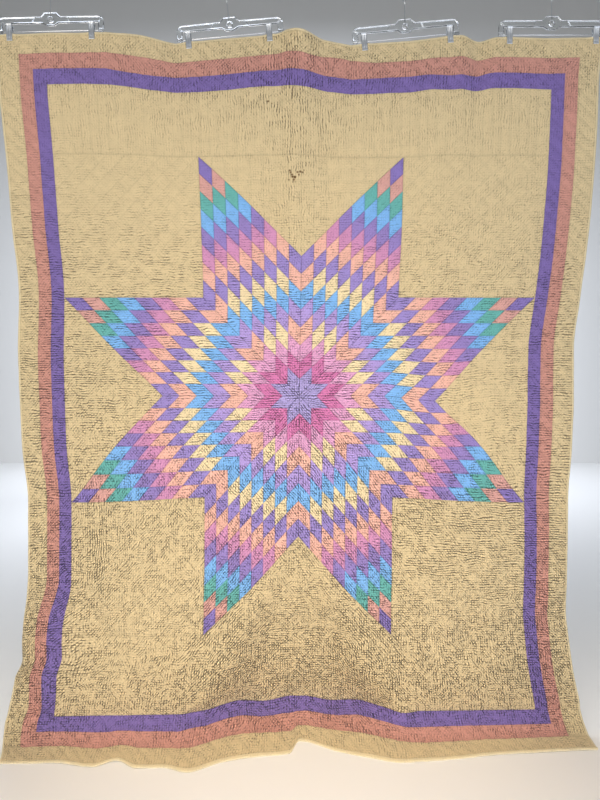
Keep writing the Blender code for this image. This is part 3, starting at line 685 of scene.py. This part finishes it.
# The star: eight points, each sewn from rows of small diamonds, a new cotton for every round. The
# seams pull down between the diamonds and each one swells a little over the wadding.
ROUNDS = (
    ("Lavender cotton", "ACA0D6"),
    ("Magenta cotton", "D27CAF"),
    ("Orchid pink cotton", "DEA3CA"),
    ("Peach cotton", "ECB7A6"),
    ("Orchid purple cotton", "B09BD9"),
    ("Sky blue cotton", "80B6ED"),
    ("Pale yellow cotton", "EDD9AE"),
    ("Violet cotton", "9C8BCB"),
    ("Peach cotton", "ECB7A6"),
    ("Rose cotton", "D092BA"),
    ("Purple cotton", "9683C2"),
    ("Sky blue cotton", "80B6ED"),
    ("Sea green cotton", "6AB2AC"),
    ("Salmon pink cotton", "D8A49B"),
    ("Deep violet cotton", "8B7ABD"),
)
YELLOW_ROUNDS = (3, 6)  # pale yellow, with a peach diamond at both ends
CELL = (0, 0.02, 0.07, 0.17, 0.32, 0.5, 0.68, 0.83, 0.93, 0.98)
SEAM_DIP = 0.0006
SEAM_REACH = 0.002  # how far each way a seam's groove is felt
POINTS = 8
STEP_ROUND = 360 / POINTS  # degrees from one point to the next
star_cottons = {}
for name, code in ROUNDS:
    if name not in star_cottons:
        star_cottons[name] = cotton(name, code)
star_names = list(star_cottons)


def diamond_cotton(i, j):
    """The cotton of the small diamond i along one side and j along the other."""
    around = i + j
    if around in YELLOW_ROUNDS:
        return "Peach cotton" if i * j == 0 else "Pale yellow cotton"
    return ROUNDS[around][0]


def in_cells(count, size):
    """Stations along a row of cells, close together beside each seam."""
    return np.array([(n + share) * size for n in range(count) for share in CELL] + [count * size])


def swell(t):
    """How far a pad between two seams has risen, t along it from one seam to the next."""
    return 1 - np.abs(2 * (t % 1) - 1) ** 3


def near_seam(t, size):
    """1 on a seam, 0 a little way off, t counted in cells of the given size."""
    away = np.abs(t - np.round(t)) * size
    return np.clip(1 - away / SEAM_REACH, 0, 1)


side = in_cells(ACROSS, DIAMOND)
a, b = np.meshgrid(side, side, indexing="ij")
puffs = PUFF * swell(a / DIAMOND) * swell(b / DIAMOND)
seam = np.maximum(near_seam(a / DIAMOND, DIAMOND), near_seam(b / DIAMOND, DIAMOND))
cells = np.arange(ACROSS * len(CELL)) // len(CELL)
palette = np.array([[star_names.index(diamond_cotton(i, j)) for j in cells] for i in cells])
for number in range(POINTS):
    turn = [math.radians(STEP_ROUND * (number + step)) for step in (0, 1)]
    u = a * math.cos(turn[0]) + b * math.cos(turn[1])
    v = a * math.sin(turn[0]) + b * math.sin(turn[1])
    node = f"star_point_{number + 1}"
    # the grid runs the other way round here, so it is turned over to keep its front forward
    cloth_piece(
        f"pieced_{node}", node, u.T, v.T, puffs.T - SEAM_DIP * seam.T, seam.T,
        (list(star_cottons.values()), palette.T),
    )


# The plain field: squares and triangles between the points and a panel across each end, of one tan
# cotton. The squares and triangles are quilted along the diagonals of the small diamonds' cells,
# the end panels in upright lines.
tan = cotton("Tan cotton", "D9C499", fade=0.035)
STAINS = (
    ("u", "v", "size", "dark"),
    (-0.0340, 0.7150, 0.0050, 0.80),
    (-0.0315, 0.7090, 0.0050, 0.80),
    (-0.0275, 0.7020, 0.0052, 0.85),
    (-0.0262, 0.6955, 0.0050, 0.95),
    (-0.0188, 0.6945, 0.0060, 1.00),
    (-0.0222, 0.6870, 0.0052, 0.85),
    (-0.0175, 0.6800, 0.0050, 0.35),
    (-0.0370, 0.6870, 0.0042, 0.70),
    (-0.0255, 0.6785, 0.0040, 0.40),
    (-0.0108, 0.7100, 0.0050, 0.80),
    (-0.0017, 0.7120, 0.0055, 0.85),
    (0.0050, 0.7100, 0.0048, 0.75),
    (0.0095, 0.7165, 0.0040, 0.50),
    (-0.0064, 0.7020, 0.0045, 0.80),
    (-0.0960, 0.9300, 0.0048, 0.80),
    (-0.0860, 0.9240, 0.0034, 0.60),
)
stained = cotton("Tan cotton with old stains", "D9C499", 0.035, [tuple(row.values()) for row in rows(STAINS)])
QUILT_RISE = 0.0016
PITCH = 0.0055  # spacing of the points of a border or panel
SUBCELLS = 10  # points along one cell of the quilting
LINE_GAP = 0.028  # between the upright quilting lines of the end panels
SEAM_FAINT = 0.4  # how much painted shade a plain piece's seams get beside those of the diamonds
HATCH_DEEP = 0.25  # and its crossed quilting lines
HATCH_HALF = 0.003
LINE_HALF = 0.004  # half the width of a border's or a panel's quilting line


def quilted(away, reach=0.009):
    """Relief beside a quilting line: pulled right down on it, full a little way off."""
    return QUILT_RISE * (1 - np.exp(-away / reach))


def plain(u, v):
    """The groove of a plain piece: only along its four seams, and faint."""
    groove = np.zeros(u.shape)
    groove[0, :] = groove[-1, :] = groove[:, 0] = groove[:, -1] = SEAM_FAINT
    return groove


def stitched(u, v, away, depth, half_width):
    """The groove of a plain piece with that of its quilting lines."""
    return np.maximum(plain(u, v), depth * np.clip(1 - away / half_width, 0, 1))


def one_cotton(material, u):
    return [material], np.zeros((u.shape[0] - 1, u.shape[1] - 1), int)


def crosshatch(a, b):
    """Distance from the nearest diagonal of the square cells, a and b counted in metres."""
    across = [np.abs(t / DIAMOND - np.round(t / DIAMOND)) * DIAMOND for t in (a + b, a - b)]
    return np.minimum(*across) / math.sqrt(2)


side = np.linspace(0, POINT_SIDE, ACROSS * SUBCELLS + 1)
b, a = np.meshgrid(side, side, indexing="ij")
corner = STAR / 2 - POINT_SIDE
for upright, low_v in (("top", corner), ("bottom", -STAR / 2)):
    for hand, low_u in (("left", -STAR / 2), ("right", corner)):
        node = f"corner_square_{upright}_{hand}"
        u, v = a + low_u, b + low_v
        away = crosshatch(a, b)
        cloth_piece(
            f"plain_{node}", node, u, v, quilted(away), stitched(u, v, away, HATCH_DEEP, HATCH_HALF),
            one_cotton(tan, u),
        )

# The triangles run from the long side on the star's square in to the valley between two points.
# Their grid stops just short of the tip, where its rows would shrink to nothing.
TIP = 0.998
rise = np.linspace(0, 1, 60)
along = np.linspace(-1, 1, 121)
half_long = POINT_SIDE / math.sqrt(2)
for quarter, hand in enumerate(("right", "top", "left", "bottom")):
    t, s = np.meshgrid(rise, along, indexing="ij")
    out = STAR / 2 - t * half_long * TIP
    aside = s * half_long * (1 - TIP * t)
    middle = math.radians(90 * quarter)
    u = out * math.cos(middle) - aside * math.sin(middle)
    v = out * math.sin(middle) + aside * math.cos(middle)
    first = (out - POINT_SIDE + aside) / math.sqrt(2)
    second = (out - POINT_SIDE - aside) / math.sqrt(2)
    away = crosshatch(first, second)
    node = f"side_triangle_{hand}"
    cloth_piece(
        f"plain_{node}", node, u, v, quilted(away), stitched(u, v, away, HATCH_DEEP, HATCH_HALF),
        one_cotton(stained if hand == "top" else tan, u),
    )


def rectangle(name, node, low_u, high_u, low_v, high_v, material, slot, lines, depth=0.2):
    """A rectangular piece between two stations each way; lines gives how far its quilting is."""
    us = np.linspace(low_u, high_u, max(round((high_u - low_u) / PITCH), 2) + 1)
    vs = np.linspace(low_v, high_v, max(round((high_v - low_v) / PITCH), 2) + 1)
    u, v = np.meshgrid(us, vs)
    away = lines(u, v)
    cloth_piece(
        name, node, u, v, quilted(away), stitched(u, v, away, depth, LINE_HALF),
        one_cotton(material, u),
    )


def upright_lines(u, v):
    return np.abs(u / LINE_GAP - np.round(u / LINE_GAP)) * LINE_GAP


block = STAR / 2
rectangle("plain_end_panel_top", "end_panel_top", -block, block, block, block + TOP_PANEL, stained,
          "tan_cotton", upright_lines)
rectangle("plain_end_panel_bottom", "end_panel_bottom", -block, block, -block - BOTTOM_PANEL, -block, tan,
          "tan_cotton", upright_lines)


# The borders: purple, then salmon, then the field's tan again, each two strips down the sides and
# two across the ends, quilted in slanting lines.
purple = cotton("Purple border cotton", "806DAC")
salmon = cotton("Salmon border cotton", "CC9486")
SLANT = 0.030  # from one slanting line to the next
SLANT_DEEP = 0.6


def slanting(u, v):
    run = (u + v) / math.sqrt(2)
    return np.abs(run / SLANT - np.round(run / SLANT)) * SLANT


half_u, top, bottom = block, block + TOP_PANEL, -block - BOTTOM_PANEL
for label, side_wide, end_wide, material, slot in (
    ("purple_strip", SIDE_STRIP, END_STRIP, purple, "purple_cotton"),
    ("salmon_strip", SIDE_STRIP, END_STRIP, salmon, "salmon_cotton"),
    ("outer_strip", OUTER_STRIP, OUTER_STRIP, tan, "tan_cotton"),
):
    wide = half_u + side_wide
    spans = {
        "left": (-wide, -half_u, bottom, top),
        "right": (half_u, wide, bottom, top),
        "top": (-wide, wide, top, top + end_wide),
        "bottom": (-wide, wide, bottom - end_wide, bottom),
    }
    for hand, span in spans.items():
        rectangle(f"sewn_{label}_{hand}", f"{label}_{hand}", *span, material, slot, slanting, SLANT_DEEP)
    half_u, top, bottom = wide, top + end_wide, bottom - end_wide


# The binding: a strip of pale cotton folded over the raw edge all round and sewn down, so that it
# makes a soft roll, in four straight lengths that butt at the corners.
binding = cotton("Cream binding cotton", "DFCEA6")
ROLL = 0.00275  # half the thickness of the roll
ROLL_FLAT = 0.97  # below 1, so that the roll's outer edge keeps a little height
SMOOTH = 0.25  # it is stretched tight and shows few of the creases
ACROSS_ROLL = np.array([0, 0.12, 0.3, 0.5, 0.7, 0.85, 0.95, 1.0])
for hand, start, end, fixed, out in (
    ("left", bottom, top, -half_u, -1),
    ("right", bottom, top, half_u, 1),
    ("top", -half_u - BINDING, half_u + BINDING, top, 1),
    ("bottom", -half_u - BINDING, half_u + BINDING, bottom, -1),
):
    steps = np.linspace(start, end, round((end - start) / PITCH) + 1)
    across = fixed + out * BINDING * ACROSS_ROLL
    share = ACROSS_ROLL
    if out < 0:
        across, share = across[::-1], share[::-1]
    if hand in ("left", "right"):
        u, v = np.meshgrid(across, steps)
        t = np.broadcast_to(share[None, :], u.shape)
    else:
        u, v = np.meshgrid(steps, across)
        t = np.broadcast_to(share[:, None], u.shape)
    node = f"binding_{hand}"
    roll = ROLL * (np.sqrt(np.maximum(1 - ROLL_FLAT * t**2, 0)) - 1)
    # only its inner edge has a seam that shows
    cloth_piece(
        f"folded_{node}", node, u, v, roll, plain(u, v) * (t < 0.5), one_cotton(binding, u),
        half=ROLL, drawn_in=SMOOTH,
    )


# The hangers: four bodies moulded in clear styrene, each a thin web with a thicker rim, two slanting
# ribs and a boss. A wire hook turns in the boss, a steel rod runs through the feet of the two legs,
# and two sprung clips on the rod grip the quilt's top edge. Hook and clips stay as they hang.
BODY_HALF = 0.165
BODY_THICK = 0.006
WEB_THICK = 0.0022
PAD_THICK = 0.0042  # between the slanting ribs, round the boss's hole
BEAM_HALF = 0.00925
LEG_WIDTH = 0.017
LEG_FOOT = -0.0385
LEG_PAD = -0.0285  # the leg is solid below this, round the rod
SHOULDER = 0.020
BOSS = ((0.0185, 0.0225), (0.0295, 0.00985))
BOSS_FOOT = ((0.0240, -0.00985), (0.0120, -0.0178))
BOSS_HOLE = 0.0085  # its radius
LIP = 0.0018  # the raised ring round it
RIM = 0.0021
EDGE = 0.0005  # rounding of the moulded edges
RIB_TOP = 0.049  # where the slanting ribs meet the beam's top and bottom
RIB_BOTTOM = 0.058
RIB = 0.0018


def arc(centre, radius, start, end, steps):
    """Points along an arc, angles in degrees."""
    angles = [math.radians(start + (end - start) * i / steps) for i in range(steps + 1)]
    return [(centre[0] + radius * math.cos(a), centre[1] + radius * math.sin(a)) for a in angles]


def inset(loop, distance):
    """A closed outline drawn in by a distance, or let out by a negative one."""
    here = np.array(loop)
    after = np.roll(here, -1, axis=0)
    area = np.sum(here[:, 0] * after[:, 1] - here[:, 1] * after[:, 0])
    steps = (after - here) / np.linalg.norm(after - here, axis=1, keepdims=True)
    next_in = np.stack([-steps[:, 1], steps[:, 0]], axis=1) * np.sign(area)
    last_in = np.roll(next_in, 1, axis=0)
    spread = 1 + np.sum(next_in * last_in, axis=1, keepdims=True)
    return here + distance * (next_in + last_in) / spread


def mirrored(loop):
    return [(-x, z) for x, z in reversed(loop)]


def finish_mesh(form, name, material, angle=35):
    """Turns a built form into a mesh with smooth faces and crisp edges."""
    bmesh.ops.recalc_face_normals(form, faces=form.faces[:])
    mesh = bpy.data.meshes.new(name)
    form.to_mesh(mesh)
    form.free()
    mesh.materials.append(material)
    mesh.shade_smooth()
    mesh.set_sharp_from_angle(angle=math.radians(angle))
    return mesh


def body_mesh(name, material):
    """The moulded body seen from the front, the same on its back."""
    form = bmesh.new()
    face_y, web_y, pad_y = BODY_THICK / 2, WEB_THICK / 2, PAD_THICK / 2
    centre = (BODY_HALF - SHOULDER, BEAM_HALF - SHOULDER)
    inner = BODY_HALF - LEG_WIDTH
    right = [
        *BOSS, *arc(centre, SHOULDER, 90, 0, 12), (BODY_HALF, LEG_FOOT), (inner, LEG_FOOT),
        (inner, -BEAM_HALF), *BOSS_FOOT,
    ]
    outline = right + mirrored(right)
    curl = SHOULDER - RIM
    arm = [
        (RIB_TOP + RIB / 2, BEAM_HALF - RIM), *arc(centre, curl, 90, 48, 5),
        (inner - 0.0015, RIM - BEAM_HALF), (RIB_BOTTOM + RIB / 2, RIM - BEAM_HALF),
    ]
    leg = [
        *arc(centre, curl, 42, 0, 5), (BODY_HALF - RIM, LEG_PAD), (inner + RIM, LEG_PAD),
        (inner + RIM, -BEAM_HALF - 0.0005),
    ]
    (top_x, top_z), (waist_x, waist_z) = BOSS
    (seat_x, seat_z), (foot_x, foot_z) = BOSS_FOOT
    pad = [
        (top_x - RIM / 2, top_z - RIM), (waist_x - RIM / 2, waist_z - RIM),
        (RIB_TOP - RIB / 2, BEAM_HALF - RIM), (RIB_BOTTOM - RIB / 2, RIM - BEAM_HALF),
        (seat_x, seat_z + RIM), (foot_x - RIM / 2, foot_z + RIM),
    ]
    hole = arc((0, 0), BOSS_HOLE, 0, 350, 35)
    lip = arc((0, 0), BOSS_HOLE + LIP, 0, 350, 35)

    def walls(loop, steps):
        """Rings of one outline, each inset and set at a depth, with walls between them."""
        rings = [[form.verts.new((x, depth, z)) for x, z in inset(loop, away)] for away, depth in steps]
        for one, other in zip(rings, rings[1:]):
            for i in range(len(one)):
                form.faces.new((one[i - 1], one[i], other[i], other[i - 1]))
        return rings[0], rings[-1]

    def fill(*rings):
        """Closes the space inside the first ring and outside the others."""
        corners = [[Vector((vert.co.x, vert.co.z, 0)) for vert in ring] for ring in rings]
        verts = [vert for ring in rings for vert in ring]
        for face in tessellate_polygon(corners):
            form.faces.new([verts[i] for i in face])

    def rounded(sign, way):
        """The steps of a rounded edge from the face in to the wall, way 1 for a rim, -1 for a recess."""
        return [(way * EDGE * a, sign * (face_y - EDGE * b)) for a, b in ((1, 0), (0.3, 0.3), (0, 1))]

    outer = walls(outline, rounded(-1, 1) + rounded(1, 1)[::-1])
    eye = walls(hole, rounded(-1, -1) + rounded(1, -1)[::-1])
    for sign, outer_ring, eye_ring in zip((-1, 1), outer, eye):
        openings = []
        for recess in (arm, mirrored(arm), leg, mirrored(leg)):
            first, last = walls(recess, [*rounded(sign, -1), (0, sign * web_y)])
            fill(last)
            openings.append(first)
        first, last = walls(pad + mirrored(pad), [*rounded(sign, -1), (0, sign * pad_y)])
        openings.append(first)
        lip_top, lip_foot = walls(lip, [*rounded(sign, 1), (0, sign * pad_y)])
        fill(last, lip_foot)
        fill(lip_top, eye_ring)
        fill(outer_ring, *openings)
    return finish_mesh(form, name, material)


def wire_mesh(name, path, radius, material, scales=None):
    """A round wire along a path, thicker or thinner where scales say so."""
    curve = bpy.data.curves.new(name, "CURVE")
    curve.dimensions, curve.bevel_depth, curve.bevel_resolution, curve.use_fill_caps = "3D", radius, 3, True
    spline = curve.splines.new("POLY")
    spline.points.add(len(path) - 1)
    for number, (point, spot) in enumerate(zip(spline.points, path)):
        point.co = (*spot, 1)
        point.radius = scales[number] if scales else 1.0
    mesh = bpy.data.meshes.new_from_object(bpy.data.objects.new(name, curve))
    mesh.materials.clear()
    mesh.materials.append(material)
    mesh.shade_smooth()
    mesh.set_sharp_from_angle(angle=math.radians(50))
    return mesh


def fit(name, mesh, where, node):
    piece = place(name, mesh)
    piece.matrix_world = where
    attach(piece, "root")
    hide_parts(node)


# Clear styrene, injection moulded: water clear with a faint cool cast, glossy, and only slightly
# uneven from handling, so that its edges and ribs catch the light.
styrene, tree, shader = new_material("Clear moulded styrene")
handled = add(tree, "TexNoise", {"Scale": 90.0, "Detail": 3.0})
polish = add(tree, "MapRange", {"Value": handled, "To Min": 0.03, "To Max": 0.10})
dress(tree, shader, {
    "Base Color": linear("FAFCFD"), "Roughness": polish, "Transmission Weight": 1.0, "IOR": 1.59,
})


def metal(name, code, low, high, stretch, grain, depth):
    """A worked metal: its colour, how rough it is, and the scale and depth of its surface grain."""
    material, tree, shader = new_material(name)
    spot = add(tree, "TexCoord").outputs["Object"]
    scaled = add(tree, "Mapping", {"Vector": spot, "Scale": tuple(s / grain for s in stretch)})
    marks = add(tree, "TexNoise", {"Vector": scaled, "Scale": 1.0, "Detail": 3.0})
    rough = add(tree, "MapRange", {"Value": marks, "From Min": 0.3, "From Max": 0.7,
                                   "To Min": low, "To Max": high})
    bump = add(tree, "Bump", {"Height": marks, "Distance": depth, "Strength": 1.0})
    dress(tree, shader, {"Base Color": linear(code), "Metallic": 1.0, "Roughness": rough, "Normal": bump})
    return material


# Steel wire, drawn and bright: fine marks along its length. The clips are pressed from zinc plated
# sheet: greyer, with a soft sparkle from the plating.
WIRE_RADIUS = 0.0014
LOOP_RADIUS = 0.0190  # of the hook's bight
HOOK_BEND = 0.0120  # of the bend between the bight and the shank
ROD_RADIUS = 0.0015
ROD_SHORT = 0.0003  # the rod stops this far inside the legs' outer faces
ROD_NOSE = 0.0010  # and narrows to its ends from here
steel = metal("Bright drawn steel wire", "E4E5E6", 0.24, 0.42, (1, 1, 0.1), 0.0010, 0.00002)
zinc = metal("Zinc plated pressed steel", "D8DBDE", 0.34, 0.50, (1, 1, 1), 0.0012, 0.00005)

CLIP_WIDTH = 0.018
SHEET_METAL = 0.0010
EDGE_BEND = 0.0012  # the jaws' long edges are bent in by this, over as much of their width
RIBBED = (-0.0235, 0.0195)  # the ribs run between these heights
RIB_FADE = 0.002
RIB_DEPTH = 0.0010
CHEEK = (0.0009, 0.0100, 0.0130)
SPRING_HALF = 0.0062
SPRING_RADIUS = 0.0028
SPRING_WIRE = 0.00045
SPRING_TURNS = 7
JAW = (
    ("z", "out"),
    (0.0220, 0.0090),
    (0.0000, 0.0056),
    (-0.0145, 0.0052),
    (-0.0262, 0.0041),
    (-0.0276, 0.0052),
    (-0.0290, 0.0040),
)
RIB_PITCH = 0.0052
jaw_out = column(JAW, "z", "out")


def clip_mesh(name):
    """Two ribbed jaws, the cheeks that join them round the rod, and the spring between."""
    form = bmesh.new()
    x, z = np.meshgrid(np.linspace(-0.5, 0.5, 37) * CLIP_WIDTH, np.linspace(JAW[1][0], JAW[-1][0], 34))
    inside = smooth_step((CLIP_WIDTH / 2 - EDGE_BEND - np.abs(x)) / 0.0008)
    inside = inside * smooth_step((z - RIBBED[0]) / RIB_FADE) * smooth_step((RIBBED[1] - z) / RIB_FADE)
    groove = RIB_DEPTH * (0.5 - 0.5 * np.cos(2 * math.pi * x / RIB_PITCH)) * inside
    bent = EDGE_BEND * smooth_step((np.abs(x) - CLIP_WIDTH / 2 + EDGE_BEND) / EDGE_BEND) ** 2
    outer = jaw_out(z) - groove - bent
    for sign in (-1, 1):
        points, quads = shell(
            np.stack([x, sign * outer, z], axis=-1), np.stack([x, sign * (outer - SHEET_METAL), z], axis=-1)
        )
        verts = [form.verts.new(point) for point in points]
        for quad in quads:
            form.faces.new([verts[i] for i in quad])
    for side in (-1, 1):
        cheek = Matrix.Translation((side * (CLIP_WIDTH / 2 - 0.0014), 0, 0.0005))
        bmesh.ops.create_cube(form, size=1.0, matrix=cheek @ Matrix.Diagonal((*CHEEK, 1)))
    coil = [
        (SPRING_HALF * (t / (SPRING_TURNS / 2) - 1), SPRING_RADIUS * math.cos(math.tau * t),
         SPRING_RADIUS * math.sin(math.tau * t))
        for t in np.linspace(0, SPRING_TURNS, 12 * SPRING_TURNS + 1)
    ]
    form.from_mesh(wire_mesh(name, coil, SPRING_WIRE, zinc))
    return finish_mesh(form, name, zinc)


loop_z = HOOK_RISE - LOOP_RADIUS
reach = LOOP_RADIUS + HOOK_BEND
bend_z = loop_z - math.sqrt(reach**2 - HOOK_BEND**2)
turn = math.degrees(math.atan2(loop_z - bend_z, HOOK_BEND))
# The shank's riveted head in the boss: heights, and thickness as a share of the wire's
HEAD = ((-0.0038, 0.5), (-0.0035, 1.5), (-0.0026, 2.0), (-0.0008, 2.0), (-0.0005, 1.0))
hook_path = [
    *[(0, 0, z) for z, _ in HEAD],
    *[(0, y, z) for y, z in arc((-HOOK_BEND, bend_z), HOOK_BEND, 0, turn, 10)],
    *[(0, y, z) for y, z in arc((0, loop_z), LOOP_RADIUS, 180 + turn, -25, 44)[1:]],
]
hook_scales = [scale for _, scale in HEAD] + [1.0] * (len(hook_path) - len(HEAD) - 1) + [0.6]
rod_ends = (-BODY_HALF + ROD_SHORT, -BODY_HALF + ROD_NOSE, BODY_HALF - ROD_NOSE, BODY_HALF - ROD_SHORT)
rod_path = [(x, 0, 0) for x in rod_ends]
rod_scales = (0.8, 1, 1, 0.8)
for row in rows(HANGERS):
    label = f"hanger_{row['name']}"
    frame_of = hanger_frame(row)
    leaning = Matrix.Rotation(-math.radians(row["lean"]), 4, "Y")
    hook_place = Matrix.Translation(frame_of.translation) @ leaning
    rod_place = frame_of @ Matrix.Translation((0, 0, ROD_Z))
    moulding = body_mesh(f"{label}_moulding", styrene)
    fit(f"moulded_{label}_body", moulding, frame_of, f"{label}_body")
    wire = wire_mesh(f"{label}_hook_wire", hook_path, WIRE_RADIUS, steel, hook_scales)
    fit(f"bent_{label}_hook", wire, hook_place, f"{label}_hook")
    bar = wire_mesh(f"{label}_rod_bar", rod_path, ROD_RADIUS, steel, rod_scales)
    fit(f"drawn_{label}_rod", bar, rod_place, f"{label}_rod")
    for hand in ("left", "right"):
        node = f"{label}_clip_{hand}"
        clip_place = rod_place @ Matrix.Translation((row[f"clip_{hand}"], 0, 0))
        fit(f"pressed_{node}", clip_mesh(f"{node}_pressing"), clip_place, node)
